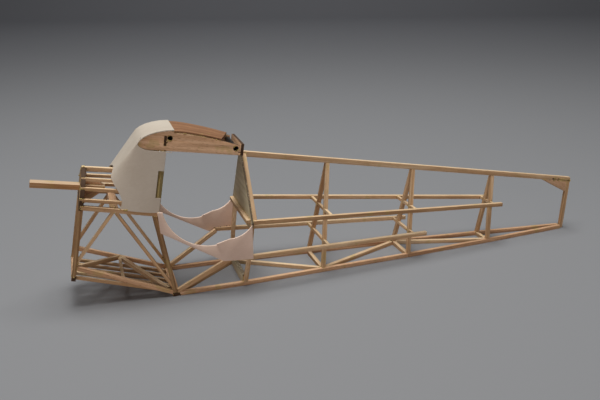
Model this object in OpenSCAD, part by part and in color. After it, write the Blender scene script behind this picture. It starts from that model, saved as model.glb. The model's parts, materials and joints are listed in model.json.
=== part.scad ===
// Uncovered fuselage frame of a high-wing cabin model aeroplane, made of glued
// balsa sticks, balsa sheet and thin card. Millimetres. The nose points along
// -X, the left side is -Y, and the frame lies on the plane z = 0.

/* [Sticks and sheet] */
// Side of the square sticks
stick = 3.2; // [2.8:0.1:3.4]
// Depth of the top longeron
spine_depth = 4.2; // [4:0.1:5]
// Side of the thinner square sticks: tail frame ties, deck, nose trusses and belly
thin_stick = 2.4; // [2:0.1:2.6]
// Thickness of the thin balsa sheet
sheet = 1.6; // [1.2:0.1:2]
// Thickness of the ribs
rib_thickness = 2.4; // [2:0.1:2.6]
// Thickness of the card
card = 0.8; // [0.6:0.1:1]

/* [Stations, measured forward from the tail end] */
// Front end of the motor stick
tip_station = 473; // [468:1:478]
// Nose former, at the height of the shoulder longerons
nose_station = 438.8; // [438:0.2:440]
// Middle of the nose truss
truss_station = 416; // [414:0.5:418]
// Instrument panel former
panel_station = 397; // [395:0.5:398]
// Foot of the landing gear frame
gear_station = 376; // [375:0.5:377]
// Foot of the rear cabin frame
cabin_station = 321; // [320:0.5:322]
// Foot of the first tail frame
frame_1_station = 253; // [248:1:258]
// Foot of the second tail frame
frame_2_station = 173; // [168:1:178]
// Foot of the third tail frame
frame_3_station = 90; // [86:1:94]
// Rear ends of the lower stringers
lower_end_station = 159; // [156:1:164]
// Rear ends of the upper stringers
upper_end_station = 79; // [76:1:83]

/* [Half widths] */
// Bottom longerons at the landing gear frame
gear_half = 24.6; // [24:0.1:25.2]
// Bottom longerons at the rear cabin frame
cabin_half = 23.6; // [23:0.1:24]
// Bottom longerons at the first tail frame
frame_1_half = 20; // [19:0.5:21]
// Bottom longerons at the second tail frame
frame_2_half = 16; // [15:0.5:17]
// Bottom longerons at the third tail frame
frame_3_half = 9.5; // [9:0.5:10]
// Shoulder longerons at the nose former
shoulder_nose_half = 21.2; // [20.8:0.1:21.6]
// Shoulder longerons at the landing gear frame
shoulder_gear_half = 26; // [25.6:0.1:26.4]
// Lower nose longerons at the nose former
nose_floor_half = 20; // [19.6:0.1:20.6]
// Stringers at the rear cabin frame
stringer_cabin_half = 33; // [32.6:0.1:33.4]
// Upper stringers at their rear ends
upper_rear_half = 11; // [10.6:0.1:11.4]
// Lower stringers at their rear ends
lower_rear_half = 20.5; // [20:0.1:21]
// Wing ribs, to their outer faces
rib_half = 17.5; // [17:0.1:18]

/* [Heights] */
// Top longeron's centre at the rear cabin frame
spine_front_z = 102.6; // [102:0.1:103.2]
// Top longeron's centre at the tail end
spine_rear_z = 48.2; // [47.6:0.1:49]
// Upper stringers at the rear cabin frame
upper_front_z = 55.8; // [55.2:0.1:56.4]
// Upper stringers at their rear ends
upper_rear_z = 35.8; // [35:0.1:36.4]
// Lower stringers at the rear cabin frame
lower_front_z = 27.6; // [27.2:0.1:28]
// Lower stringers at their rear ends
lower_rear_z = 22.1; // [21.6:0.1:23]
// Shoulder longerons at the nose former
shoulder_nose_z = 79; // [78.6:0.1:79.4]
// Shoulder longerons at the landing gear frame
shoulder_gear_z = 69.6; // [69.2:0.1:70]
// Lower nose longerons at the nose former
nose_floor_z = 32.6; // [32:0.2:33.4]
// Belly stringers at the nose former
belly_z = 24.2; // [23.8:0.1:24.8]
// Deck's rise above the shoulder longerons
deck_rise = 25; // [24:0.1:25.4]

/* [Lean of the frames, degrees towards the tail] */
// Nose former
nose_lean = 11.6; // [11:0.2:12.4]
// Landing gear frame
gear_lean = -9; // [-10:0.5:-8]
// Rear cabin frame, first and second tail frames
frame_lean = 6.8; // [6:0.1:7.4]
// Third tail frame
frame_3_lean = 5; // [4:0.5:6]
// Tail post
post_lean = 3; // [2:0.5:4]

/* [Motor stick] */
// Width of the motor stick
motor_stick_w = 8; // [7:0.5:9]
// Depth of the motor stick
motor_stick_h = 4; // [3.6:0.2:4.8]
// Height of the motor stick's centre at its front end
motor_tip_z = 94.5; // [94:0.1:95]
// Station of the motor stick's rear end
motor_rear_station = 420.5; // [420:0.5:424]
// Downward slope of the motor stick towards the tail, degrees
thrust_angle = 9.4; // [9:0.1:10]

/* [Wing root] */
// Station of the ribs' leading edge
rib_station = 395.2; // [394:0.2:396]
// Length of the ribs
rib_length = 76.8; // [76:0.2:78]
// Height of the ribs' base line at the leading edge
rib_base_z = 117.6; // [117.2:0.1:118]
// Downward slope of the ribs' base line towards the tail, degrees
rib_angle = 8.8; // [8.4:0.1:9.2]
// Greatest height of the ribs
rib_height = 15.7; // [15:0.1:16]
// Inner radius of the wing dowel tubes
dowel_r = 1.7; // [1.6:0.05:1.8]
// Outer radius of the wing dowel tubes
tube_r = 2; // [1.95:0.05:2.1]

/* [Hidden] */

// Room kept where a piece passes beside another without touching it
gap = 0.2;
// How far a stick's raw end runs into the piece that it is then cut to
bite = 1;
// Size of the blocks that trim the sticks
trim = 600;
// Step of the arcs that the formers are drawn with, degrees
arc_step = 7.5;

// A station's place along X, with the origin half way between the two ends
function sx(station) = tip_station / 2 - station;

// The point of the line through a and b that lies at x
function along(a, b, x) = a + (b - a) * (x - a.x) / (b.x - a.x);

// The same point mirrored to the side: -1 is left, 1 is right
function sided(p, side) = [p.x, side * p.y, p.z];

tail_x = sx(0);
// Foot of the tail post's centre line, so that its head is flush with the tail end
post_x = tail_x - (spine_rear_z - spine_depth / 2) * tan(post_lean) - 0.5 * stick / cos(post_lean);
gear_x = sx(gear_station);
cabin_x = sx(cabin_station);
nose_x = sx(nose_station);
truss_x = sx(truss_station);
panel_x = sx(panel_station);

frame_xs = [sx(frame_1_station), sx(frame_2_station), sx(frame_3_station)];
frame_halves = [frame_1_half, frame_2_half, frame_3_half];
frame_leans = [frame_lean, frame_lean, frame_3_lean];

// Foot of the nose former's plane, where it would meet z = 0
nose_foot_x = nose_x - shoulder_nose_z * tan(nose_lean);
// Plane of the cabin bulkhead's rear face
bulkhead_x = cabin_x + upper_front_z * tan(frame_lean);

spine_front = [bulkhead_x, 0, spine_front_z];
spine_rear = [tail_x, 0, spine_rear_z];
// The upper stringers stand a little closer together than the lower ones
upper_inset = 0.4;
upper_front = [bulkhead_x, stringer_cabin_half - upper_inset, upper_front_z];
upper_rear = [sx(upper_end_station), upper_rear_half, upper_rear_z];
lower_front = [cabin_x + lower_front_z * tan(frame_lean), stringer_cabin_half, lower_front_z];
lower_rear = [sx(lower_end_station), lower_rear_half, lower_rear_z];
// How far the lower stringers run on ahead of the rear cabin frame
lower_reach = 16;

shoulder_front = [nose_x, shoulder_nose_half, shoulder_nose_z];
shoulder_rear = [gear_x + shoulder_gear_z * tan(gear_lean), shoulder_gear_half, shoulder_gear_z];
gear_tie_w = 5.4;
gear_tie_front = gear_x - gear_tie_w / 2;
gear_tie_rear = gear_x + gear_tie_w / 2;
nose_floor_front = [nose_foot_x + nose_floor_z * tan(nose_lean), nose_floor_half, nose_floor_z];
nose_floor_rear = [gear_tie_front + bite, gear_half, stick];

// Places of the deck stringers, in degrees round from the spine
deck_angles = [37, 56, 76];
panel_rise = 26.5;
panel_half = 25;
panel_rim = 9;
truss_tie_w = 5.6;

// Rib's highest place and nose, along its base line and above it
rib_peak = 30;
rib_nose_z = 4;
rib_nose_length = 9;
// Fullness of the rib's front, and the curve of its top behind the highest place
rib_fullness = 0.62;
rib_droop = 0.0227;
rib_droop_power = 1.48;
// Dowel tubes and web slots, along the rib's base line and above it
front_dowel = [22.9, 9.7];
rear_dowel = [73, 5.1];
slot_w = 2;
front_slot = [18.6, 3.7];
front_slot_h = 7.6;
rear_slot = [75.2, 1.8];
rear_slot_h = 6.3;
// Ends of the roof sheet along the rib
roof_front = 25.6;
roof_rear_left = 61;
roof_rear_right = 73;

// Half ellipse at the foot of the card screen: its centre, length, drop and overhang
hood_centre_x = sx(393.2);
hood_drop = 2.4;
hood_foot_z = shoulder_gear_z - hood_drop;
hood_foot_length = 50;
hood_overhang = 2.6;
hood_rear_reach = 12;
// Middle of the window posts' feet and heads
window_foot = [shoulder_rear.x + 1.2, shoulder_gear_half - 1, shoulder_gear_z + stick / 2];
window_head = [sx(376.6), rib_half - rib_thickness / 2, rib_base_z - 3];

// ---------------------------------------------------------------- helpers

// A stick of width w and depth h from a to b, its width kept level
module bar(a, b, w = stick, h = stick) {
    d = b - a;
    rise = atan2(d.z, norm([d.x, d.y]));
    translate(a)
        rotate([0, -rise, atan2(d.y, d.x)])
            translate([0, -w / 2, -h / 2])
                cube([norm(d), w, h]);
}

// A strip in the plane x = 0 from p to q, both given as [y, z]
module strut(p, q, wide = stick, thick = stick) {
    translate([-thick / 2, p.x, p.y])
        rotate([atan2(q.y - p.y, q.x - p.x), 0, 0])
            translate([0, 0, -wide / 2])
                cube([thick, norm(q - p), wide]);
}

// The plane of a frame whose foot is at x and which leans towards the tail
module frame_plane(x, lean) {
    translate([x, 0, 0])
        rotate([0, lean, 0])
            children();
}

// Everything in front of the nose former's rear face
module ahead_of_nose_former() {
    frame_plane(nose_foot_x, nose_lean)
        translate([stick / 2 - trim, -trim / 2, -trim / 2])
            cube(trim);
}

// Everything behind the gear posts' front faces
module behind_gear_posts() {
    frame_plane(gear_x, gear_lean)
        translate([-stick / 2, -trim / 2, -trim / 2])
            cube(trim);
}

// Keeps what lies on one side of y = 0
module side_only(side) {
    intersection() {
        children();
        translate([-trim / 2, side < 0 ? -trim : 0, -trim / 2])
            cube([trim, trim, trim]);
    }
}

// Keeps what lies above z
module above(z) {
    intersection() {
        children();
        translate([-trim / 2, -trim / 2, z])
            cube([trim, trim, trim]);
    }
}

// Everything over the line through a and b, or under it, from a height above it
module over(a, b, lift) {
    d = b - a;
    translate(a)
        rotate([0, -atan2(d.z, norm([d.x, d.y])), atan2(d.y, d.x)])
            translate([-trim / 2, -trim / 2, lift])
                cube(trim);
}

module under(a, b, lift) {
    over(a, b, lift - trim);
}

// Keeps what lies between two places along X
module between_x(from, to) {
    intersection() {
        children();
        translate([from, -trim / 2, -trim / 2])
            cube([to - from, trim, trim]);
    }
}

// ------------------------------------------------- longerons and stringers

// Plan of a bottom longeron: its centre line's points from gear frame to tail
floor_line = [
    [gear_tie_rear, gear_half],
    [cabin_x, cabin_half],
    [frame_xs[0], frame_1_half],
    [frame_xs[1], frame_2_half],
    [frame_xs[2], frame_3_half],
    [post_x - 2, stick / 2]
];

// Half the clear width between the bottom longerons
function floor_clear(x) = lookup(x, floor_line) - stick / 2;

// The floor between the bottom longerons, from one place along X to another
module floor_bay(from, to) {
    linear_extrude(stick)
        polygon([
            [from, -floor_clear(from)],
            [to, -floor_clear(to)],
            [to, floor_clear(to)],
            [from, floor_clear(from)]
        ]);
}

module bottom_longeron(side) {
    last = len(floor_line) - 1;
    linear_extrude(stick)
        polygon(concat(
            [for (p = floor_line) [p.x, side * (p.y + stick / 2)]],
            [for (i = [last:-1:0]) [floor_line[i].x, side * (floor_line[i].y - stick / 2)]]
        ));
}

// Parts a bottom longeron into its two lengths, which meet at the second tail frame
module in_two_lengths() {
    difference() {
        children();
        translate([frame_xs[1] - gap / 2, -trim / 2, -bite])
            cube([gap, trim, stick + 2 * bite]);
    }
}

module top_longeron() {
    color("burlywood")
        between_x(bulkhead_x, tail_x)
            bar(along(spine_front, spine_rear, bulkhead_x - spine_depth),
                along(spine_front, spine_rear, tail_x + spine_depth), stick, spine_depth);
}

module upper_stringer(side) {
    bar(sided(upper_front, side), sided(upper_rear, side));
}

module lower_stringer(side) {
    difference() {
        bar(sided(along(lower_front, lower_rear, lower_front.x - lower_reach), side),
            sided(lower_rear, side));
        beside_side(side);
    }
}

module bottom_longeron_left() {
    color("peru")
        in_two_lengths()
            bottom_longeron(-1);
}

module bottom_longeron_right() {
    color("peru")
        in_two_lengths()
            bottom_longeron(1);
}

module upper_stringer_left() {
    color("burlywood") upper_stringer(-1);
}

module upper_stringer_right() {
    color("burlywood") upper_stringer(1);
}

module lower_stringer_left() {
    color("burlywood") lower_stringer(-1);
}

module lower_stringer_right() {
    color("burlywood") lower_stringer(1);
}

// --------------------------------------------------------- tail frames 1-3

// Height along a leaning frame at which a line crosses it
function crossing_z(a, b, x, lean) =
    let (slope = (b.z - a.z) / (b.x - a.x),
         z0 = along(a, b, x).z)
    z0 / (1 - slope * tan(lean)) / cos(lean);

// Half width at which a line crosses a leaning frame
function crossing_y(a, b, x, lean) =
    along(a, b, x + crossing_z(a, b, x, lean) * sin(lean)).y;

module frame_legs(i) {
    x = frame_xs[i];
    lean = frame_leans[i];
    apex = crossing_z(spine_front, spine_rear, x, lean);
    difference() {
        above(stick)
            frame_plane(x, lean)
                for (side = [-1, 1])
                    intersection() {
                        strut([side * frame_halves[i], 0], [0, apex]);
                        translate([-stick, side < 0 ? -trim : gap, 0])
                            cube([2 * stick, trim, apex]);
                    }
        over(spine_front, spine_rear, -spine_depth / 2);
    }
}

// One level tie, flush with the front of the frame's legs
module frame_tie(i, a, b) {
    x = frame_xs[i];
    lean = frame_leans[i];
    z = crossing_z(a, b, x, lean);
    y = crossing_y(a, b, x, lean);
    frame_plane(x, lean)
        translate([(thin_stick - stick) / 2, 0, 0])
            strut([-y, z], [y, z], thin_stick, thin_stick);
}

// The tie on the floor, between the bottom longerons
module floor_tie(i) {
    floor_bay(frame_xs[i] - stick / 2, frame_xs[i] + stick / 2);
}

module frame_ties(i) {
    color("tan") {
        difference() {
            union() {
                frame_tie(i, upper_front, upper_rear);
                if (frame_xs[i] < lower_rear.x)
                    frame_tie(i, lower_front, lower_rear);
            }
            for (side = [-1, 1]) {
                upper_stringer(side);
                lower_stringer(side);
            }
            frame_legs(i);
        }
        floor_tie(i);
    }
}

module frame_1_legs() {
    color("burlywood") frame_legs(0);
}

module frame_2_legs() {
    color("burlywood") frame_legs(1);
}

module frame_3_legs() {
    color("burlywood") frame_legs(2);
}

module frame_1_ties() {
    frame_ties(0);
}

module frame_2_ties() {
    frame_ties(1);
}

module frame_3_ties() {
    frame_ties(2);
}

// ------------------------------------------------------------------ floor

// Places of the ties across the floor, from the gear frame to the third tail frame
tie_xs = concat([gear_tie_rear - stick / 2, cabin_x], frame_xs);

// A diagonal on the floor of one bay, from the named side at its front to the other
module floor_diagonal(bay, side) {
    from = tie_xs[bay] + stick / 2;
    to = tie_xs[bay + 1] - stick / 2;
    intersection() {
        bar([from - bite, side * floor_clear(from), stick / 2],
            [to + bite, -side * floor_clear(to), stick / 2], stick, 2 * stick);
        floor_bay(from, to);
    }
}

module floor_diagonals() {
    color("tan")
        for (bay = [0:len(tie_xs) - 2])
            floor_diagonal(bay, bay % 2 == 0 ? -1 : 1);
}

// ------------------------------------------------------------------- tail

tail_gusset_length = 33;
tail_gusset_drop = 11;

module tail_post() {
    color("burlywood")
        difference() {
            above(0)
                translate([post_x, 0, 0])
                    rotate([0, post_lean, 0])
                        translate([-stick / 2, -stick / 2, -bite])
                            cube([stick, stick, spine_rear_z + bite]);
            over(spine_front, spine_rear, -spine_depth / 2);
            bottom_longeron(-1);
            bottom_longeron(1);
        }
}

// Sheet triangle in the corner between the top longeron and the tail post
module tail_gusset() {
    front = along(spine_front, spine_rear, post_x - tail_gusset_length);
    foot_z = spine_rear_z - tail_gusset_drop;
    color("peru")
        difference() {
            translate([0, stick / 2, 0])
                rotate([90, 0, 0])
                    linear_extrude(stick)
                        polygon([
                            [front.x, front.z],
                            [post_x + bite, spine_rear_z],
                            [post_x + bite, foot_z],
                            [post_x - 1.4, foot_z]
                        ]);
            over(spine_front, spine_rear, -spine_depth / 2);
            tail_post();
        }
}

// -------------------------------------------------------- rear cabin frame

// The bulkhead sheet's peak, foot and the overhang of its side corners
bulkhead_peak = spine_front_z + 3;
bulkhead_foot_z = upper_front_z - 7.6;
bulkhead_overhang = 1.4;
wall_leg_half = stringer_cabin_half - stick - gap;
web_height = 8.2;

// Sheet triangle across the back of the cabin
module cabin_bulkhead() {
    color("darkkhaki")
        difference() {
            translate([bulkhead_x, 0, 0])
                rotate([90, 0, -90])
                    linear_extrude(sheet)
                        polygon([
                            [-wall_leg_half, bulkhead_foot_z],
                            [wall_leg_half, bulkhead_foot_z],
                            [stringer_cabin_half + bulkhead_overhang, upper_front_z - upper_inset],
                            [stick / 2, bulkhead_peak],
                            [-stick / 2, bulkhead_peak],
                            [-stringer_cabin_half - bulkhead_overhang, upper_front_z - upper_inset]
                        ]);
            cabin_wall_leg(-1);
            cabin_wall_leg(1);
            cabin_side(-1);
            cabin_side(1);
        }
}

// Stick along one sloping edge of the bulkhead, behind the sheet
module cabin_roof_leg(side) {
    color("burlywood")
        difference() {
            side_only(side)
                translate([bulkhead_x + stick / 2, 0, 0])
                    intersection() {
                        strut([side * (stringer_cabin_half - 1), upper_front_z - stick / 2],
                            [0, spine_front_z]);
                        translate([-stick, -trim / 2, upper_front_z - stick / 2])
                            cube([2 * stick, trim, trim]);
                    }
            top_longeron();
            upper_stringer(side);
        }
}

// Bent side stick of the cabin frame, from the bottom longeron to the stringer
module cabin_wall_leg(side) {
    top = upper_front_z - stick / 2 - gap;
    bend = lower_front_z - stick / 2;
    above(stick)
        frame_plane(cabin_x, frame_lean)
            translate([-stick / 2, 0, 0])
                rotate([90, 0, 90])
                    linear_extrude(stick)
                        polygon([
                            [side * (cabin_half - stick / 2), 0],
                            [side * (cabin_half + stick / 2), 0],
                            [side * (wall_leg_half + stick / 2), bend],
                            [side * (wall_leg_half + stick / 2), top],
                            [side * (wall_leg_half - stick / 2), top],
                            [side * (wall_leg_half - stick / 2), bend]
                        ]);
}

module cabin_roof_leg_left() {
    cabin_roof_leg(-1);
}

module cabin_roof_leg_right() {
    cabin_roof_leg(1);
}

module cabin_wall_leg_left() {
    color("burlywood") cabin_wall_leg(-1);
}

module cabin_wall_leg_right() {
    color("burlywood") cabin_wall_leg(1);
}

// Level stick across the front of the bulkhead
module cabin_rear_tie() {
    color("tan")
        difference() {
            translate([bulkhead_x - sheet - stick, -wall_leg_half - bite, upper_front_z - stick / 2])
                cube([stick, 2 * (wall_leg_half + bite), stick]);
            cabin_side(-1);
            cabin_side(1);
            cabin_wall_leg(-1);
            cabin_wall_leg(1);
        }
}

// Sheet web across the floor at the back of the cabin
module cabin_floor_web() {
    color("sienna")
        difference() {
            translate([cabin_x - stick / 2, -cabin_half, 0])
                cube([stick, 2 * cabin_half, web_height]);
            bottom_longeron(-1);
            bottom_longeron(1);
            cabin_wall_leg(-1);
            cabin_wall_leg(1);
        }
}

// ------------------------------------------------------------ cabin sides

// Ends of a card side's middle plane, seen from above
side_front = [window_foot.x, shoulder_gear_half + stick / 2 + sheet / 2 + gap];
side_rear = [bulkhead_x - sheet, stringer_cabin_half + stick / 2 + sheet / 2];
side_yaw = atan2(side_rear.y - side_front.y, side_rear.x - side_front.x);
side_length = norm(side_rear - side_front);
side_foot_z = lower_front_z - 0.1;
// The two round cut-outs, and the small step where they meet
door_r = 35;
door_centre = [38.5, 76.1];
sill_r = 21;
sill_centre = [52.5, 66.2];
sill_step = [42.5, 41.2];

// Outline of the card side, along its own length and upwards
module side_outline() {
    difference() {
        polygon([
            [0, shoulder_gear_z + 2],
            [1.2, 54.9],
            [side_length - 23, side_foot_z],
            [side_length, side_foot_z - 0.4],
            [side_length, upper_front_z + 2],
            [side_length - 20, door_centre.y + door_r],
            [0, door_centre.y + door_r]
        ]);
        intersection() {
            translate(door_centre) circle(door_r, $fn = 120);
            translate([-1, sill_step.y - 5]) square([sill_step.x + 1, 100]);
        }
        translate(door_centre) square([100, 100]);
        translate(sill_centre) circle(sill_r, $fn = 96);
        translate([sill_step.x, sill_centre.y - 10]) square([60, 100]);
        translate([door_centre.x, sill_centre.y - sill_r + 4]) square([20, 60]);
        translate([-1, shoulder_gear_z + 1.4]) square([100, 100]);
        polygon([
            [sill_step.x - 3, sill_step.y],
            [sill_centre.x, sill_centre.y - sill_r],
            [sill_centre.x, sill_centre.y],
            [sill_step.x - 3, sill_centre.y]
        ]);
    }
}

module cabin_side(side) {
    color("tan")
        translate([side_front.x, side * side_front.y, 0])
            rotate([90, 0, side * side_yaw])
                translate([0, 0, -sheet / 2])
                    linear_extrude(sheet)
                        side_outline();
}

// Space outside a card side, from its inner face outwards
module beside_side(side) {
    inner = sheet / 2;
    translate([side_front.x, side * side_front.y, 0])
        rotate([90, 0, side * side_yaw])
            translate([0, -trim / 2, side < 0 ? -inner : inner - trim])
                cube([side_length, trim, trim]);
}

module cabin_side_left() {
    cabin_side(-1);
}

module cabin_side_right() {
    cabin_side(1);
}

// Side diagonal from the gear frame's foot to the front of the lower stringer
module cabin_brace(side) {
    head = along(lower_front, lower_rear, lower_front.x - lower_reach + bite);
    color("burlywood")
        difference() {
            bar([gear_tie_rear - 1.5, side * gear_half, stick + 0.6],
                [head.x, side * (head.y - stick), head.z]);
            gear_tie();
            gear_post(side);
            bottom_longeron(side);
            lower_stringer(side);
            cabin_side(side);
            floor_diagonal(0, -1);
        }
}

module cabin_brace_left() {
    cabin_brace(-1);
}

module cabin_brace_right() {
    cabin_brace(1);
}

// ------------------------------------------------------ landing gear frame

module gear_tie() {
    color("peru")
        translate([gear_tie_front, -gear_half - stick / 2, 0])
            cube([gear_tie_w, 2 * gear_half + stick, stick]);
}

module gear_post(side) {
    color("sienna")
        difference() {
            above(stick)
                frame_plane(gear_x, gear_lean)
                    strut([side * gear_half, 0],
                        [side * (shoulder_gear_half - 2 * gap), shoulder_gear_z / cos(gear_lean)]);
            shoulder_longeron(side);
        }
}

module gear_post_left() {
    gear_post(-1);
}

module gear_post_right() {
    gear_post(1);
}

// ------------------------------------------------------------ nose frames

module shoulder_longeron(side) {
    color("burlywood")
        bar(sided(along(shoulder_front, shoulder_rear, nose_x - 0.6), side),
            sided(along(shoulder_front, shoulder_rear, shoulder_rear.x + stick / 2), side));
}

module shoulder_longeron_left() {
    shoulder_longeron(-1);
}

module shoulder_longeron_right() {
    shoulder_longeron(1);
}

// Flat tie across the nose, between the shoulder longerons
module shoulder_tie() {
    middle = along(shoulder_front, shoulder_rear, truss_x);
    color("tan")
        difference() {
            translate([middle.x, 0, middle.z])
                rotate([0, thrust_angle, 0])
                    translate([-truss_tie_w / 2, -middle.y, -stick / 2])
                        cube([truss_tie_w, 2 * middle.y, stick]);
            shoulder_longeron(-1);
            shoulder_longeron(1);
            motor_gussets();
        }
}

// Half-round former outline above the shoulder line
function deck_outline(half, rise) =
    [for (t = [-90:arc_step:90]) [half * sin(t), rise * cos(t)]];

// Front end and rear end of the deck stringer of a given size at angle t
function deck_front(t, size) =
    let (z = shoulder_nose_z + (deck_rise - size / 2) * cos(t))
    [nose_foot_x + z * tan(nose_lean) - stick / 2,
     (shoulder_nose_half + (stick - size) / 2) * sin(t),
     z];

function deck_rear(t, size) =
    let (z = along(shoulder_front, shoulder_rear, panel_x).z + (panel_rise - size / 2) * cos(t))
    [panel_x, (panel_half - size / 2) * sin(t), z];

module deck_stringer(t, size) {
    bar(deck_front(t, size), deck_rear(t, size), size, size);
}

module deck_spine() {
    color("burlywood")
        deck_stringer(0, stick);
}

module deck_stringers_left() {
    color("burlywood")
        for (t = deck_angles)
            deck_stringer(-t, thin_stick);
}

module deck_stringers_right() {
    color("burlywood")
        for (t = deck_angles)
            deck_stringer(t, thin_stick);
}

// Sheet former that carries the rear ends of the deck stringers
module panel_former() {
    foot = along(shoulder_front, shoulder_rear, panel_x);
    color("tan")
        difference() {
            translate([panel_x, 0, foot.z])
                rotate([90, 0, 90])
                    linear_extrude(sheet)
                        polygon(concat(
                            deck_outline(panel_half, panel_rise),
                            [[panel_half, -stick / 2], [-panel_half, -stick / 2]]
                        ));
            translate([panel_x - 1, 0, foot.z - stick / 2 - 1])
                rotate([90, 0, 90])
                    linear_extrude(sheet + 2)
                        polygon(deck_outline(panel_half - panel_rim, panel_rise - panel_rim));
            shoulder_longeron(-1);
            shoulder_longeron(1);
        }
}

// Half-round sheet former at the front of the nose
module nose_former() {
    color("sienna")
        difference() {
            frame_plane(nose_foot_x, nose_lean)
                translate([-stick / 2, 0, shoulder_nose_z / cos(nose_lean)])
                    rotate([90, 0, 90])
                        linear_extrude(stick)
                            polygon(concat(
                                deck_outline(shoulder_nose_half + stick / 2, deck_rise),
                                [[shoulder_nose_half + stick / 2, -stick / 2],
                                 [-shoulder_nose_half - stick / 2, -stick / 2]]
                            ));
            for (side = [-1, 1])
                shoulder_longeron(side);
            deck_spine();
            deck_stringers_left();
            deck_stringers_right();
            motor_stick();
        }
}

module nose_post(side) {
    color("sienna")
        frame_plane(nose_foot_x, nose_lean)
            strut([side * nose_floor_half, belly_z + stick / 2],
                [side * (shoulder_nose_half - gap), (shoulder_nose_z - stick / 2) / cos(nose_lean) - gap]);
}

module nose_post_left() {
    nose_post(-1);
}

module nose_post_right() {
    nose_post(1);
}

module nose_floor_tie() {
    half = nose_floor_half + stick / 2;
    color("peru")
        frame_plane(nose_foot_x, nose_lean)
            translate([-stick / 2, -half, belly_z - stick / 2])
                cube([stick, 2 * half, stick]);
}

module nose_longeron(side) {
    color("peru")
        difference() {
            bar(sided(nose_floor_front, side), sided(nose_floor_rear, side));
            ahead_of_nose_former();
            gear_tie();
            behind_gear_posts();
        }
}

module nose_longeron_left() {
    nose_longeron(-1);
}

module nose_longeron_right() {
    nose_longeron(1);
}

// The two sloping sticks of one side of the nose, an upturned V
module nose_truss(side) {
    apex = sided(along(shoulder_front, shoulder_rear, truss_x), side);
    front = [nose_floor_front.x, side * nose_floor_half, nose_floor_z + 1.5];
    rear = [gear_x, side * gear_half, stick + bite];
    color("burlywood")
        difference() {
            union() {
                between_x(front.x, truss_x)
                    bar(front, apex, thin_stick, thin_stick);
                between_x(truss_x + gap, rear.x)
                    bar(apex, rear, thin_stick, thin_stick);
            }
            over(sided(shoulder_front, side), sided(shoulder_rear, side), -stick / 2);
            under(sided(nose_floor_front, side), sided(nose_floor_rear, side), stick / 2);
            ahead_of_nose_former();
            behind_gear_posts();
        }
}

module nose_truss_left() {
    nose_truss(-1);
}

module nose_truss_right() {
    nose_truss(1);
}

// ------------------------------------------------------------------ belly

belly_count = 5;
belly_nose_pitch = 8.6;
belly_gear_pitch = 9.6;

module belly_stringers() {
    front = belly_z * [sin(nose_lean), cos(nose_lean)];
    color("burlywood")
        difference() {
            for (i = [0:belly_count - 1]) {
                k = i - (belly_count - 1) / 2;
                bar([nose_foot_x + front.x, k * belly_nose_pitch, front.y],
                    [gear_tie_front + bite, k * belly_gear_pitch, stick / 2], thin_stick, thin_stick);
            }
            nose_floor_tie();
            gear_tie();
        }
}

belly_middle = along(nose_floor_front, nose_floor_rear, truss_x + 1.5);

// Takes away what surrounds the braces under the nose
module between_nose_longerons() {
    difference() {
        children();
        for (side = [-1, 1])
            nose_longeron(side);
        ahead_of_nose_former();
        behind_gear_posts();
        belly_stringers();
        gear_tie();
    }
}

// Tie between the lower nose longerons
module belly_tie() {
    color("tan")
        between_nose_longerons()
            bar(sided(belly_middle, -1), belly_middle, thin_stick, thin_stick);
}

// Two diagonals that meet at the tie's right-hand end
module belly_diagonals() {
    front = sided(along(nose_floor_front, nose_floor_rear, nose_floor_front.x + 3), -1) + [0, 3, 0];
    rear = sided(along(nose_floor_front, nose_floor_rear, gear_tie_front - 3), -1) + [0, 3, 0];
    color("tan")
        between_nose_longerons()
            difference() {
                union() {
                    between_x(-trim, belly_middle.x)
                        bar(front, belly_middle);
                    between_x(belly_middle.x, trim)
                        bar(belly_middle, rear);
                }
                bar(sided(belly_middle, -1), belly_middle, thin_stick + gap, stick + gap);
            }
}

// ------------------------------------------------------------ motor stick

motor_front = [tip_to_centre(), 0, motor_tip_z];
motor_rear = [sx(motor_rear_station), 0,
              motor_tip_z - (sx(motor_rear_station) - tip_to_centre()) * tan(thrust_angle)];
// Length of the brackets along the stick, their heights and the width of their outer ends
gusset_long = 16.5;
gusset_up = 12;
gusset_down = 11.5;
gusset_end = 2.2;
// Waist of the upper bracket: two places along the stick and above it
gusset_waist = [[11.6, 3.2], [3.8, 5.4]];

// Centre of the motor stick's front end, whose lower corner is the tip
function tip_to_centre() = sx(tip_station) + motor_stick_h / 2 * sin(thrust_angle);

module motor_stick() {
    color("wheat")
        bar(motor_front, motor_rear, motor_stick_w, motor_stick_h);
}

// Sheet brackets above and below the motor stick, behind the nose former
module motor_gussets() {
    front_x = nose_foot_x + shoulder_nose_z * tan(nose_lean) + stick / 2;
    root = along(motor_front, motor_rear, front_x);
    color("chocolate")
        difference() {
            translate([root.x, sheet / 2, root.z])
                rotate([90, thrust_angle, 0])
                    linear_extrude(sheet)
                        gusset_outline();
            motor_stick();
            ahead_of_nose_former();
        }
}

// Outline of the two brackets together, along the stick and across it
module gusset_outline() {
    half = motor_stick_h / 2;
    polygon([
        [-2 * bite, -half - gusset_down],
        [gusset_end, -half - gusset_down],
        [gusset_long, -half],
        [gusset_long, half],
        [gusset_waist[0].x, half + gusset_waist[0].y],
        [gusset_waist[1].x, half + gusset_waist[1].y],
        [gusset_end, half + gusset_up],
        [-2 * bite, half + gusset_up]
    ]);
}

// -------------------------------------------------------------- wing root

// Height of a rib's top above its base line, a distance s behind the nose
function rib_top(s) =
    s < rib_peak
        ? rib_nose_z + (rib_height - rib_nose_z) * pow(1 - pow(1 - s / rib_peak, 2), rib_fullness)
        : rib_height - rib_droop * pow(s - rib_peak, rib_droop_power);

// Height of a rib's bottom above its base line
function rib_bottom(s) =
    s < rib_nose_length
        ? rib_nose_z * (1 - sqrt(1 - pow(1 - s / rib_nose_length, 2)))
        : 0;

rib_steps = concat([0.3, 1, 2, 3.5, 5, 7], [for (s = [9:3:75]) s], [rib_length]);

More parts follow.
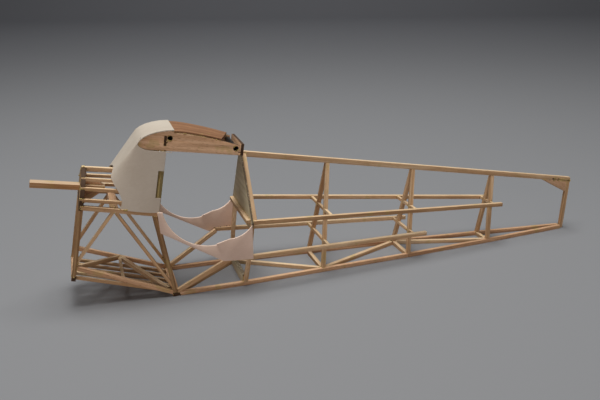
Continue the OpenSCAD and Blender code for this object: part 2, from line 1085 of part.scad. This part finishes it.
// The rib's outline, with its top lowered and its bottom and ends let out
module rib_outline(lower = 0, out = 0) {
    polygon(concat(
        [[-out, rib_nose_z]],
        [for (s = rib_steps) [s, rib_top(s) - lower + out]],
        [for (i = [len(rib_steps) - 1:-1:0]) [rib_steps[i], rib_bottom(rib_steps[i]) - out]]
    ));
}

// The ribs' own frame: base line along X from the nose, upright along Y
module rib_plane(y, thickness) {
    translate([sx(rib_station), y, rib_base_z])
        rotate([90, rib_angle, 0])
            linear_extrude(thickness)
                children();
}

module wing_rib(side) {
    color("peru")
        rib_plane(side < 0 ? rib_thickness - rib_half : rib_half, rib_thickness)
            difference() {
                rib_outline();
                translate([roof_front, rib_nose_z])
                    difference() {
                        square([100, 30]);
                        translate([-roof_front, -rib_nose_z])
                            rib_outline(sheet);
                    }
                for (centre = [front_dowel, rear_dowel])
                    translate(centre)
                        circle(tube_r, $fn = 48);
                translate(front_slot)
                    square([slot_w, front_slot_h]);
                translate(rear_slot)
                    square([2 * slot_w, rear_slot_h]);
            }
}

module wing_rib_left() {
    wing_rib(-1);
}

module wing_rib_right() {
    wing_rib(1);
}

// Curved sheet over the ribs, its rear edge cut at a slant
module roof_sheet() {
    color("peru")
        difference() {
            rib_plane(rib_half, 2 * rib_half)
                intersection() {
                    difference() {
                        rib_outline();
                        rib_outline(sheet);
                    }
                    translate([roof_front, rib_nose_z])
                        square([roof_rear_right - roof_front, 30]);
                }
            translate([sx(rib_station), 0, rib_base_z])
                rotate([0, rib_angle, 0])
                    linear_extrude(60, center = true)
                        polygon([
                            [roof_rear_left, -rib_half - 1],
                            [roof_rear_right, rib_half + 1],
                            [roof_rear_right + 30, rib_half + 1],
                            [roof_rear_right + 30, -rib_half - 1]
                        ]);
        }
}

// Upright web between the ribs, with a tab through each rib's slot
module front_spar_web() {
    inside = 2 * (rib_half - rib_thickness);
    color("peru") {
        rib_plane(rib_half, 2 * rib_half)
            translate(front_slot)
                square([slot_w, front_slot_h]);
        rib_plane(inside / 2, inside)
            translate([front_slot.x, 1])
                square([slot_w, rib_top(front_slot.x) - 1.2]);
    }
}

// Upright web behind the ribs' rear ends
module rear_spar_web() {
    color("peru")
        difference() {
            rib_plane(rib_half, 2 * rib_half)
                translate([rib_length, 0])
                    square([rib_thickness, rib_top(rib_length)]);
            cabin_bulkhead();
            top_longeron();
        }
}

// Two thin tubes from rib to rib, for the dowels that hold the wing panels
module dowel_tubes() {
    color("black")
        rib_plane(rib_half, 2 * rib_half)
            for (centre = [front_dowel, rear_dowel])
                translate(centre)
                    difference() {
                        circle(tube_r, $fn = 48);
                        circle(dowel_r, $fn = 48);
                    }
}

// ------------------------------------------------------------- windscreen

hood_steps = [1.5, 4, 8, 13, 19, roof_front - gap];

// The ribs' nose let out by a little, where the card is bent over it
function hood_cap(out) = concat(
    [[-out, rib_nose_z], [hood_steps[len(hood_steps) - 1], rib_nose_z]],
    [for (i = [len(hood_steps) - 1:-1:0]) [hood_steps[i], rib_top(hood_steps[i]) + out]]
);

// Outer shape of the hood, or its inside when inset by the card's thickness
module hood(inset) {
    half = shoulder_gear_half + hood_overhang - inset;
    cap_half = rib_half + 2 * gap - inset;
    hull() {
        translate([hood_centre_x, 0, hood_foot_z])
            linear_extrude(gap)
                intersection() {
                    scale([(hood_foot_length - inset) / half, 1])
                        circle(half, $fn = 48);
                    translate([-trim / 2, -trim / 2])
                        square([trim / 2 + hood_rear_reach, trim]);
                }
        rib_plane(cap_half, 2 * cap_half)
            polygon(hood_cap(card - inset));
    }
}

// Space under the deck stringers, where the hood stops
module deck_block() {
    front = along(shoulder_front, shoulder_rear, nose_x - 20);
    translate([front.x, 0, front.z])
        rotate([0, thrust_angle - 0.6, 0])
            rotate([90, 0, 90])
                linear_extrude(140)
                    polygon(concat(
                        deck_outline(panel_half - 0.6, panel_rise - 0.4),
                        [[40, -stick / 2 - 1.4], [40, -40], [-40, -40], [-40, -stick / 2 - 1.4]]
                    ));
}

// Space behind the hood's leaning rear edges, with a notch at each post, which is
// given by its depth, the height where it starts and its length
module hood_rear_block() {
    lean = atan2(window_head.x - window_foot.x, window_head.z - window_foot.z);
    notch = [4, 10, 20];
    translate([window_foot.x + stick / 2, 0, window_foot.z])
        rotate([0, lean, 0]) {
            translate([0, -trim / 2, -trim / 2])
                cube([trim, trim, trim / 2 + window_head.z - window_foot.z + 0.6]);
            translate([-notch[0], -trim / 2, notch[1]])
                cube([trim, trim, notch[2]]);
        }
}

// A rib and the space outside it, where the wing panel's root lies
module beside_rib(side) {
    reach = 20;
    rib_plane(side < 0 ? rib_thickness - rib_half : rib_half + reach, rib_thickness + reach)
        rib_outline();
}

// Card screen round the front of the cabin and over the ribs' noses
module windscreen() {
    color("cornsilk")
        difference() {
            hood(0);
            hood(card);
            deck_block();
            hood_rear_block();
            for (side = [-1, 1]) {
                beside_rib(side);
                shoulder_longeron(side);
            }
        }
}

// Post from the shoulder longeron to the rib, inside the card's rear edge
module window_post(side) {
    color("olive")
        difference() {
            bar(sided(window_foot, side), sided(window_head, side));
            shoulder_longeron(side);
            beside_rib(side);
            windscreen();
            cabin_side(side);
        }
}

module window_post_left() {
    window_post(-1);
}

module window_post_right() {
    window_post(1);
}

// ---------------------------------------------------------------- assembly

bottom_longeron_left();
bottom_longeron_right();
top_longeron();
upper_stringer_left();
upper_stringer_right();
lower_stringer_left();
lower_stringer_right();
frame_1_legs();
frame_2_legs();
frame_3_legs();
frame_1_ties();
frame_2_ties();
frame_3_ties();
floor_diagonals();
tail_post();
tail_gusset();
cabin_bulkhead();
cabin_roof_leg_left();
cabin_roof_leg_right();
cabin_wall_leg_left();
cabin_wall_leg_right();
cabin_rear_tie();
cabin_floor_web();
cabin_brace_left();
cabin_brace_right();
cabin_side_left();
cabin_side_right();
window_post_left();
window_post_right();
windscreen();
gear_post_left();
gear_post_right();
gear_tie();
panel_former();
shoulder_longeron_left();
shoulder_longeron_right();
shoulder_tie();
deck_spine();
deck_stringers_left();
deck_stringers_right();
nose_former();
nose_post_left();
nose_post_right();
nose_floor_tie();
nose_longeron_left();
nose_longeron_right();
nose_truss_left();
nose_truss_right();
belly_stringers();
belly_tie();
belly_diagonals();
motor_stick();
motor_gussets();
wing_rib_left();
wing_rib_right();
roof_sheet();
front_spar_web();
rear_spar_web();
dowel_tubes();
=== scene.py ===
"""Studio scene of a glued balsa fuselage frame: raw strip and sheet wood with
laser-cut edges, beads of dried glue, thin board and a bent card windscreen."""
import json
import math

import bpy
import numpy as np
from mathutils import Matrix, Vector
from mathutils.bvhtree import BVHTree


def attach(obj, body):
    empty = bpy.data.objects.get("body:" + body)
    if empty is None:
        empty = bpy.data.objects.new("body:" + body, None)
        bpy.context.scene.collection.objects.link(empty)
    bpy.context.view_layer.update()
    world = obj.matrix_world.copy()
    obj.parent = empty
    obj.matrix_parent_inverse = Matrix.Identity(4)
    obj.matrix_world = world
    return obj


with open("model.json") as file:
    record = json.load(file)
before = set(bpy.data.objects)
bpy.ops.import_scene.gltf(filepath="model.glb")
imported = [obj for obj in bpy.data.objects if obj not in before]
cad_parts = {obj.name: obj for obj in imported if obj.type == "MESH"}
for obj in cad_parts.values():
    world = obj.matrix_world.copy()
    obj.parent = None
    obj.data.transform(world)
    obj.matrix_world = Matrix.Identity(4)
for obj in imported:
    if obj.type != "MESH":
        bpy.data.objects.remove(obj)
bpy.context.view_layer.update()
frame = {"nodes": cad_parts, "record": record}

MM = 0.001
NODES = frame["nodes"]
SLOT_OF = {p["node"]: p["material_slot"] for p in frame["record"]["subparts"]}
SHEETS = (
    "cabin_bulkhead", "cabin_floor_web", "panel_former", "nose_former", "tail_gusset",
    "motor_gussets", "wing_rib_left", "wing_rib_right", "roof_sheet",
    "front_spar_web", "rear_spar_web",
)
BOARDS = ("card_tan", "card_cream", "black_tube")
SEED = 20

# Points closer than this are the same place on a solid, or on the card
SAME_PLACE = 0.01 * MM
SAME_CORNER = 0.02 * MM
# How far each solid's grain is moved, in mm: along, across and through it
GRAIN_SHIFT = (900, 90, 90)
# A sheet's face counts less as a cut edge, the more it faces along the sheet's thin way
EDGE_FALLOFF = 1.6
# A stick's face counts as a cut end when it faces this much along the stick
END_FACING = 0.8
WELD_REACH = 0.005 * MM
FLAT_ANGLE = math.radians(0.6)
SHARP_ANGLE = math.radians(28)
WOOD_ROUNDING = 0.14 * MM
BOARD_ROUNDING = 0.05 * MM

# ------------------------------------------------------------------ solids


def solids_of(mesh):
    """The mesh's places and, for each loose solid, which of them it has."""
    co = np.zeros(len(mesh.vertices) * 3)
    mesh.vertices.foreach_get("co", co)
    co = co.reshape(-1, 3)
    places = {}
    cells = np.round(co / SAME_PLACE).astype(int)
    parent = [places.setdefault(tuple(cell), i) for i, cell in enumerate(cells)]

    def root(i):
        while parent[i] != i:
            parent[i] = parent[parent[i]]
            i = parent[i]
        return i

    for polygon in mesh.polygons:
        first = root(polygon.vertices[0])
        for v in polygon.vertices[1:]:
            parent[root(v)] = first
    groups = {}
    for i in range(len(co)):
        groups.setdefault(root(i), []).append(i)
    return co, [np.array(g) for g in groups.values()]


def axes_of(points):
    """Long, wide and thin directions of a cloud of points."""
    _, _, rows = np.linalg.svd(points - points.mean(0), full_matrices=False)
    return rows


def write_grain(obj, rng, is_sheet, lengthwise):
    """Writes what the wood materials read: each solid's grain, its place between the
    solid's sides, its tone and its cut faces. Lengthwise grain runs along the aeroplane."""
    mesh = obj.data
    co, solids = solids_of(mesh)
    grain = np.zeros((len(co), 3))
    across = np.zeros((len(co), 3))
    tone = np.zeros(len(co))
    axis = np.zeros((len(co), 3))
    for group in solids:
        long, wide, thin = axes_of(co[group])
        if lengthwise:
            long, wide = np.cross((0, 1, 0), thin), np.array((0, 1, 0))
        local = (co[group] - co[group].mean(0)) / MM
        local = np.stack([local @ long, local @ wide, local @ thin], 1)
        middle, half = (local.max(0) + local.min(0)) / 2, np.ptp(local, 0) / 2
        across[group] = (local - middle) / half
        shift = rng.uniform(-1, 1, 3) * GRAIN_SHIFT
        grain[group] = local + shift
        tone[group] = rng.uniform(0, 1)
        axis[group] = thin if is_sheet else long
    cut = np.zeros(len(mesh.polygons))
    for polygon in mesh.polygons:
        flat = abs(np.dot(np.array(polygon.normal), axis[polygon.vertices[0]]))
        cut[polygon.index] = max(0, 1 - EDGE_FALLOFF * flat) if is_sheet else flat > END_FACING
    for name, kind, domain, values in (
        ("grain", "FLOAT_VECTOR", "POINT", grain),
        ("across", "FLOAT_VECTOR", "POINT", across),
        ("tone", "FLOAT", "POINT", tone),
        ("cut", "FLOAT", "FACE", cut),
    ):
        layer = mesh.attributes.new(name, kind, domain)
        layer.data.foreach_set("vector" if kind == "FLOAT_VECTOR" else "value", values.ravel())


def soften(obj, width):
    """Welds the mesh, merges its flat faces and rounds its sharp edges, by modifiers."""
    obj.modifiers.new("weld", "WELD").merge_threshold = WELD_REACH
    flat = obj.modifiers.new("flat", "DECIMATE")
    flat.decimate_type = "DISSOLVE"
    flat.angle_limit = FLAT_ANGLE
    bevel = obj.modifiers.new("bevel", "BEVEL")
    bevel.width = width
    bevel.segments = 2
    bevel.limit_method = "ANGLE"
    bevel.angle_limit = SHARP_ANGLE
    bevel.harden_normals = True
    for polygon in obj.data.polygons:
        polygon.use_smooth = True


def flow_normals(obj, level=0.4, crease=26):
    """Lets the card's shading flow from facet to facet: at each corner, a facet takes
    the mean of its own normal and those of the facets that bend gently away from it."""
    mesh = obj.data
    low, high = math.cos(math.radians(crease)), math.cos(math.radians(level))
    key = [tuple(round(c / SAME_CORNER) for c in v.co) for v in mesh.vertices]
    normals = [p.normal.copy() for p in mesh.polygons]
    by_edge, around = {}, {}
    for p in mesh.polygons:
        corners = [key[v] for v in p.vertices]
        for i, a in enumerate(corners):
            by_edge.setdefault(frozenset((a, corners[i - 1])), []).append(p.index)
            around.setdefault(a, set()).add(p.index)
    beside = {}
    for edge, faces in by_edge.items():
        for a in faces:
            for b in faces:
                if a != b:
                    beside.setdefault(a, []).append((b, edge))
    result = []
    for p in mesh.polygons:
        own = normals[p.index]
        for v in p.vertices:
            place = key[v]
            flat, queue, bent = {p.index}, [p.index], []
            while queue:
                for other, edge in beside.get(queue.pop(), []):
                    if other in flat or place not in edge:
                        continue
                    likeness = own.dot(normals[other])
                    if likeness > high:
                        flat.add(other)
                        queue.append(other)
                    elif likeness > low:
                        bent.append((own + normals[other]).normalized())
            total = sum(bent, Vector()) if bent else own
            result.append(total.normalized())
    mesh.normals_split_custom_set([n[:] for n in result])


# --------------------------------------------------------------- materials


class Shader:
    """A material's node tree, with a short way to add and link nodes."""

    def __init__(self, name):
        self.material = bpy.data.materials.new(name)
        self.material.use_nodes = True
        self.tree = self.material.node_tree
        self.bsdf = self.tree.nodes["Principled BSDF"]

    def add(self, kind, inputs=None, **settings):
        node = self.tree.nodes.new("ShaderNode" + kind)
        for key, value in settings.items():
            setattr(node, key, value)
        for key, value in (inputs or {}).items():
            self.feed(node.inputs[key], value)
        return node

    def feed(self, socket, value):
        if isinstance(value, bpy.types.NodeSocket):
            self.tree.links.new(value, socket)
        else:
            socket.default_value = value

    def surface(self, **values):
        for key, value in values.items():
            self.feed(self.bsdf.inputs[key.replace("_", " ")], value)

    def attribute(self, name, output="Fac"):
        return self.add("Attribute", attribute_name=name).outputs[output]

    def place(self):
        return self.add("TexCoord").outputs["Object"]

    def math(self, operation, a, b=0.0, clamp=False):
        return self.add("Math", {0: a, 1: b}, operation=operation, use_clamp=clamp).outputs[0]

    def stretched(self, vector, scale):
        return self.add("VectorMath", {0: vector, 1: scale}, operation="MULTIPLY").outputs[0]

    def noise(self, vector, scale, detail=3.0, rough=0.55, distortion=0.0):
        return self.add("TexNoise", {
            "Vector": vector, "Scale": scale, "Detail": detail,
            "Roughness": rough, "Distortion": distortion,
        }).outputs["Fac"]

    def ramp(self, fac, stops):
        node = self.add("ValToRGB", {"Fac": fac})
        elements = node.color_ramp.elements
        while len(elements) < len(stops):
            elements.new(0.5)
        for element, (place, colour) in zip(elements, stops):
            element.position = place
            element.color = (*colour, 1)
        return node.outputs["Color"]

    def mask(self, fac, low, high, share=1.0):
        """0 below low, the given share above high, and a smooth step between."""
        return self.add("MapRange", {
            "Value": fac, "From Min": low, "From Max": high, "To Max": share,
        }, interpolation_type="SMOOTHSTEP").outputs["Result"]

    def mix(self, fac, a, b):
        node = self.add("Mix", data_type="RGBA")
        self.feed(node.inputs["Factor"], fac)
        for key, value in (("A", a), ("B", b)):
            socket = next(s for s in node.inputs if s.name == key and s.type == "RGBA")
            self.feed(socket, value if isinstance(value, bpy.types.NodeSocket) else (*value, 1))
        return next(s for s in node.outputs if s.type == "RGBA")

    def bump(self, height, strength, distance):
        node = self.add("Bump", {"Height": height, "Strength": strength, "Distance": distance})
        return node.outputs["Normal"]

    def upward(self):
        """How far the surface faces up, in the object's own frame."""
        normal = self.add("TexCoord").outputs["Normal"]
        return self.add("SeparateXYZ", {0: normal}).outputs["Z"]


CHAR = (0.045, 0.020, 0.009)
SOAKED_GLUE = (0.42, 0.33, 0.10)


def wood(name, pale, mid, dark, char=0.0, flecks=0.5, painted_top_light=0.5, rim=0.0, unburnt=0.25):
    """Raw balsa: grain along each stick, pores and flecks, burnt cut faces and rims,
    and upper faces painted paler, as painted light from above."""
    s = Shader(name)
    grain = s.attribute("grain", "Vector")
    fine = s.noise(s.stretched(grain, (0.035, 2.2, 2.2)), 1.0, 4, 0.62)
    broad = s.noise(s.stretched(grain, (0.014, 0.40, 0.40)), 1.0, 3, 0.5, 0.4)
    figure = s.math("ADD", s.math("MULTIPLY", fine, 0.5), s.math("MULTIPLY", broad, 0.5))
    tone = s.math("MULTIPLY", s.math("SUBTRACT", s.attribute("tone"), 0.5), 0.20)
    colour = s.ramp(s.math("ADD", figure, tone), [(0.32, dark), (0.50, mid), (0.68, pale)])
    # short dark pores, and small bright rays across them
    pores = s.noise(s.stretched(grain, (0.28, 3.4, 3.4)), 1.0, 2, 0.5)
    colour = s.mix(s.mask(pores, 0.58, 0.70, flecks), colour, dark)
    rays = s.noise(s.stretched(grain, (0.9, 2.2, 2.2)), 1.0, 2, 0.5)
    colour = s.mix(s.mask(rays, 0.60, 0.74, 0.4 * flecks), colour, pale)
    # painted light: faces that point up are mixed toward the pale wood colour, as painted top light
    colour = s.mix(s.mask(s.upward(), 0.25, 0.85, painted_top_light), colour, pale)
    # handling marks, wide and faint, and places where thin glue has soaked in
    handled = s.noise(s.place(), 40.0, 3, 0.5)
    colour = s.mix(s.mask(handled, 0.50, 0.75, 0.25), colour, dark)
    soaked = s.noise(s.place(), 90.0, 2, 0.5)
    colour = s.mix(s.mask(soaked, 0.60, 0.70, 0.35), colour, SOAKED_GLUE)
    if rim:
        across = s.add("SeparateXYZ", {0: s.attribute("across", "Vector")})
        from_side = s.math("ABSOLUTE", across.outputs["Y"])
        from_face = s.math("ABSOLUTE", across.outputs["Z"])
        outward = s.math("MINIMUM", from_side, from_face)
        ragged = s.math("ADD", outward, s.math("MULTIPLY", s.math("SUBTRACT", fine, 0.5), 0.9))
        colour = s.mix(s.mask(ragged, 0.45, 0.95, rim), colour, CHAR)
    if char:
        patches = s.noise(s.stretched(grain, (0.5, 0.9, 0.9)), 1.0, 3, 0.6)
        burnt = s.math("MULTIPLY", s.attribute("cut"), s.mask(patches, unburnt, unburnt + 0.25, char))
        colour = s.mix(burnt, colour, CHAR)
    ridges = s.math("ADD", s.math("MULTIPLY", fine, 0.6), s.math("MULTIPLY", pores, 0.4))
    s.surface(
        Base_Color=colour,
        Normal=s.bump(ridges, 0.35, 0.12 * MM),
        Roughness=s.math("ADD", 0.60, s.math("MULTIPLY", fine, 0.25)),
        Specular_IOR_Level=0.28,
    )
    return s.material


def board(name, pale, dark, fibre_scale, speck):
    """Card or thin board: matt, with pressed fibres, faint blotches and tiny specks."""
    s = Shader(name)
    place = s.place()
    blotch = s.noise(place, 38.0, 4, 0.55)
    fibres = s.noise(s.stretched(place, (0.3, 1.0, 1.0)), fibre_scale, 5, 0.65, 1.2)
    fac = s.math("ADD", s.math("MULTIPLY", blotch, 0.6), s.math("MULTIPLY", fibres, 0.4))
    colour = s.ramp(fac, [(0.36, dark), (0.64, pale)])
    specks = s.noise(place, fibre_scale * 1.6, 2, 0.5)
    colour = s.mix(s.mask(specks, 0.66, 0.74, speck), colour, dark)
    s.surface(
        Base_Color=colour,
        Normal=s.bump(fibres, 0.4, 0.03 * MM),
        Roughness=s.math("ADD", 0.70, s.math("MULTIPLY", blotch, 0.16)),
        Specular_IOR_Level=0.25,
        Sheen_Weight=0.06,
    )
    return s.material


def glue_material():
    """Dried wood glue: amber, glossy, a little uneven."""
    s = Shader("dried_glue")
    cloud = s.noise(s.place(), 260.0, 3, 0.5)
    s.surface(
        Base_Color=s.ramp(cloud, [(0.38, (0.30, 0.20, 0.05)), (0.62, (0.62, 0.48, 0.17))]),
        Normal=s.bump(cloud, 0.3, 0.05 * MM),
        Roughness=s.math("ADD", 0.20, s.math("MULTIPLY", cloud, 0.2)),
    )
    return s.material


def scorch_material():
    """Small burnt or soaked marks beside the joints."""
    s = Shader("joint_mark")
    cloud = s.noise(s.place(), 800.0, 2, 0.5)
    s.surface(
        Base_Color=s.ramp(cloud, [(0.4, (0.05, 0.022, 0.008)), (0.6, (0.13, 0.06, 0.02))]),
        Roughness=s.math("ADD", 0.55, s.math("MULTIPLY", cloud, 0.2)),
    )
    return s.material


def tube_material():
    """Black drawn tube with faint lengthwise marks."""
    s = Shader("black_tube")
    marks = s.noise(s.stretched(s.place(), (1.0, 0.04, 1.0)), 2600.0, 2, 0.5)
    s.surface(
        Base_Color=s.ramp(marks, [(0.3, (0.006, 0.006, 0.006)), (0.7, (0.018, 0.017, 0.016))]),
        Roughness=s.math("ADD", 0.35, s.math("MULTIPLY", marks, 0.2)),
    )
    return s.material


# The roof's wood is darker than its slot's, so it has a look of its own
ROOF = wood(
    "balsa_roof", (0.43, 0.22, 0.115), (0.30, 0.145, 0.072), (0.15, 0.065, 0.03),
    char=0.3, flecks=0.8, painted_top_light=0.1,
)
MATERIALS = {
    "balsa_light": wood(
        "balsa_light", (0.78, 0.59, 0.39), (0.60, 0.37, 0.20), (0.36, 0.19, 0.085), char=0.35,
    ),
    "balsa_brown": wood(
        "balsa_brown", (0.80, 0.53, 0.34), (0.66, 0.39, 0.225), (0.34, 0.16, 0.075),
        char=0.95, flecks=0.85, painted_top_light=0.30, unburnt=0.10,
    ),
    "balsa_laser_cut": wood(
        "balsa_laser_cut", (0.66, 0.47, 0.28), (0.46, 0.28, 0.14), (0.20, 0.10, 0.04),
        char=0.95, painted_top_light=0.3, rim=0.9, unburnt=0.05,
    ),
    "balsa_sheet": wood(
        "balsa_sheet", (0.66, 0.57, 0.41), (0.57, 0.48, 0.32), (0.44, 0.35, 0.21),
        char=0.85, flecks=0.2, painted_top_light=0.2,
    ),
    "balsa_olive": wood(
        "balsa_olive", (0.52, 0.42, 0.20), (0.38, 0.29, 0.12), (0.22, 0.15, 0.05), char=0.4,
    ),
    "basswood": wood(
        "basswood", (0.56, 0.41, 0.28), (0.50, 0.27, 0.12), (0.32, 0.14, 0.05),
        char=0.2, painted_top_light=0.8,
    ),
    "card_tan": board("card_tan", (0.86, 0.66, 0.56), (0.76, 0.565, 0.465), 900.0, 0.4),
    "card_cream": board("card_cream", (0.55, 0.48, 0.41), (0.49, 0.415, 0.345), 700.0, 0.15),
    "black_tube": tube_material(),
}

rng = np.random.default_rng(SEED)
for node in sorted(NODES):
    obj = NODES[node]
    slot = SLOT_OF[node]
    obj.data.materials.clear()
    obj.data.materials.append(ROOF if node == "roof_sheet" else MATERIALS[slot])
    write_grain(obj, rng, node in SHEETS, node == "roof_sheet")
    if node == "windscreen":
        flow_normals(obj)
    else:
        soften(obj, BOARD_ROUNDING if slot in BOARDS else WOOD_ROUNDING)

# ---------------------------------------------------------- glue and marks

# Distance between tested points, reach of a touch, and spacing of the places kept
JOINT_STEP = 0.9 * MM
TOUCH = 0.25 * MM
JOINT_CELL = 0.8 * MM
GLUE_SHARE, GLUE_SIZE, GLUE_FLATNESS = 0.42, 0.55 * MM, 0.45
MARK_SHARE, MARK_SIZE, MARK_FLATNESS = 0.06, 0.65 * MM, 0.22
# Where along the aeroplane each region starts and ends
REGIONS = {"nose": (-1, -0.135), "cabin": (-0.135, -0.07), "tail": (-0.07, 1)}


def joint_places():
    """Places along the outlines of the glued joints: points on one piece's edges
    that lie on another piece's surface, with that surface's normal."""
    trees, points = {}, {}
    for node, obj in NODES.items():
        verts = [obj.matrix_world @ v.co for v in obj.data.vertices]
        trees[node] = BVHTree.FromPolygons(verts, [p.vertices[:] for p in obj.data.polygons])
        points[node] = np.array([v[:] for v in verts])
    found, seen = [], set()
    for node in sorted(NODES):
        if SLOT_OF[node] == "black_tube":
            continue
        low, high = points[node].min(0) - TOUCH, points[node].max(0) + TOUCH
        near = [
            other for other in sorted(NODES)
            if other != node
            and (points[other].min(0) <= high).all()
            and (points[other].max(0) >= low).all()
        ]
        for edge in NODES[node].data.edges:
            a, b = (Vector(points[node][v]) for v in edge.vertices)
            count = max(1, int((b - a).length / JOINT_STEP))
            for i in range(count):
                p = a.lerp(b, (i + 0.5) / count)
                key = tuple(round(c / JOINT_CELL) for c in p)
                if key in seen:
                    continue
                for other in near:
                    place, normal, _, _ = trees[other].find_nearest(p, TOUCH)
                    if place is not None:
                        seen.add(key)
                        found.append((p, normal))
                        break
    return found


def ball(rings=4, sides=7):
    """Vertices and faces of a small round drop."""
    verts = [Vector((0, 0, 1))]
    for i in range(1, rings):
        polar = math.pi * i / rings
        for j in range(sides):
            around = 2 * math.pi * j / sides
            verts.append(Vector((
                math.sin(polar) * math.cos(around),
                math.sin(polar) * math.sin(around),
                math.cos(polar),
            )))
    verts.append(Vector((0, 0, -1)))
    faces = []
    for j in range(sides):
        k = (j + 1) % sides
        faces.append((0, 1 + j, 1 + k))
        for i in range(rings - 2):
            a, b = 1 + i * sides, 1 + (i + 1) * sides
            faces.append((a + j, b + j, b + k, a + k))
        last = 1 + (rings - 2) * sides
        faces.append((len(verts) - 1, last + k, last + j))
    return verts, faces


def blobs(name, places, material, rng, size, flatness):
    """One mesh of small flattened drops that lie on the given places."""
    ball_verts, ball_faces = ball()
    verts, faces = [], []
    for p, normal in places:
        r = size * rng.uniform(0.55, 1.3)
        turn = normal.to_track_quat("Z", "Y").to_matrix()
        stretch = rng.uniform(0.8, 1.5)
        base = len(verts)
        for v in ball_verts:
            wobble = 1 + rng.uniform(-0.12, 0.12)
            verts.append(p + turn @ Vector((v.x * stretch, v.y, v.z * flatness)) * (r * wobble))
        faces += [[base + i for i in f] for f in ball_faces]
    mesh = bpy.data.meshes.new(name)
    mesh.from_pydata(verts, [], faces)
    mesh.materials.append(material)
    for polygon in mesh.polygons:
        polygon.use_smooth = True
    obj = bpy.data.objects.new(name, mesh)
    bpy.context.scene.collection.objects.link(obj)
    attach(obj, "root")


joints = joint_places()
glue = glue_material()
mark = scorch_material()
picked = [j for j in joints if rng.random() < GLUE_SHARE]
dots = [j for j in joints if rng.random() < MARK_SHARE]
for region, (low, high) in REGIONS.items():
    here = [j for j in picked if low <= j[0].x < high]
    blobs("glue_" + region, here, glue, rng, GLUE_SIZE, GLUE_FLATNESS)
    here = [j for j in dots if low <= j[0].x < high]
    blobs("marks_" + region, here, mark, rng, MARK_SIZE, MARK_FLATNESS)

# ------------------------------------------------------------------- stage

# The camera stands to the left of the nose and looks down at the middle.
VIEW_YAW = math.radians(17.42)
VIEW_PITCH = math.radians(19.18)
VIEW_ROLL = math.radians(-0.67)
CAMERA_PLACE = Vector((-0.1921, -0.5173, 0.2465))
LENS, SENSOR = 41.47, 36.0

# The floor, and the curve that takes it up into a backdrop, in metres
FLOOR_NEAR, FLOOR_DEPTH, FLOOR_HALF_WIDTH = -4.0, 2.6, 9.0
CURVE_RADIUS, CURVE_STEPS, BACKDROP_HEIGHT = 1.2, 16, 3.2
FLOOR_COLOUR = (0.25, 0.25, 0.265, 1)
# Each light's name, place, aim, size, power in watts and colour
LIGHTS = (
    ("key", (-0.10, 0.05, 1.5), (-0.05, 0.0, 0.0), (1.1, 0.7), 25.5, (0.97, 0.99, 0.96)),
    ("fill", (-0.8, -1.8, 0.6), (0.0, 0.0, 0.05), (1.4, 0.8), 8.5, (1.0, 0.84, 0.72)),
    ("backdrop", (0.4, 1.6, 1.9), (0.9, 3.4, 0.6), (2.4, 0.8), 12, (0.95, 0.97, 1.0)),
)
SKY_COLOUR, SKY_STRENGTH = (0.80, 0.82, 0.88, 1), 0.06


def camera():
    ahead = Vector((
        math.sin(VIEW_YAW) * math.cos(VIEW_PITCH),
        math.cos(VIEW_YAW) * math.cos(VIEW_PITCH),
        -math.sin(VIEW_PITCH),
    ))
    level = Vector((math.cos(VIEW_YAW), -math.sin(VIEW_YAW), 0))
    upright = level.cross(ahead)
    right = level * math.cos(VIEW_ROLL) + upright * math.sin(VIEW_ROLL)
    up = upright * math.cos(VIEW_ROLL) - level * math.sin(VIEW_ROLL)
    data = bpy.data.cameras.new("camera")
    data.lens, data.sensor_width = LENS, SENSOR
    data.clip_start = 0.01
    obj = bpy.data.objects.new("camera", data)
    bpy.context.scene.collection.objects.link(obj)
    turn = Matrix((right, up, -ahead)).transposed().to_4x4()
    obj.matrix_world = Matrix.Translation(CAMERA_PLACE) @ turn
    bpy.context.scene.camera = obj


def floor():
    """A pale floor that curves up into a backdrop."""
    profile = [(FLOOR_NEAR, 0.0)]
    for step in range(CURVE_STEPS + 1):
        angle = math.pi / 2 * step / CURVE_STEPS
        away = FLOOR_DEPTH + CURVE_RADIUS * math.sin(angle)
        profile.append((away, CURVE_RADIUS * (1 - math.cos(angle))))
    profile.append((FLOOR_DEPTH + CURVE_RADIUS, BACKDROP_HEIGHT))
    verts = [(x, y, z) for y, z in profile for x in (-FLOOR_HALF_WIDTH, FLOOR_HALF_WIDTH)]
    faces = [(2 * i, 2 * i + 1, 2 * i + 3, 2 * i + 2) for i in range(len(profile) - 1)]
    mesh = bpy.data.meshes.new("floor")
    mesh.from_pydata(verts, [], faces)
    obj = bpy.data.objects.new("floor", mesh)
    obj.rotation_euler.z = -VIEW_YAW
    bpy.context.scene.collection.objects.link(obj)
    s = Shader("pale_floor")
    s.surface(Base_Color=FLOOR_COLOUR, Roughness=0.85, Specular_IOR_Level=0.1)
    mesh.materials.append(s.material)
    for polygon in mesh.polygons:
        polygon.use_smooth = True


def soft_light(name, place, aim, size, power, colour):
    light = bpy.data.lights.new(name, "AREA")
    light.shape = "RECTANGLE"
    light.size, light.size_y = size
    light.energy = power
    light.color = colour
    obj = bpy.data.objects.new(name, light)
    obj.location = place
    obj.rotation_euler = (Vector(aim) - Vector(place)).to_track_quat("-Z", "Y").to_euler()
    bpy.context.scene.collection.objects.link(obj)


camera()
floor()
for light in LIGHTS:
    soft_light(*light)
world = bpy.data.worlds.new("studio")
world.use_nodes = True
world.node_tree.nodes["Background"].inputs["Color"].default_value = SKY_COLOUR
world.node_tree.nodes["Background"].inputs["Strength"].default_value = SKY_STRENGTH
bpy.context.scene.world = world
bpy.context.scene.view_settings.view_transform = "Standard"
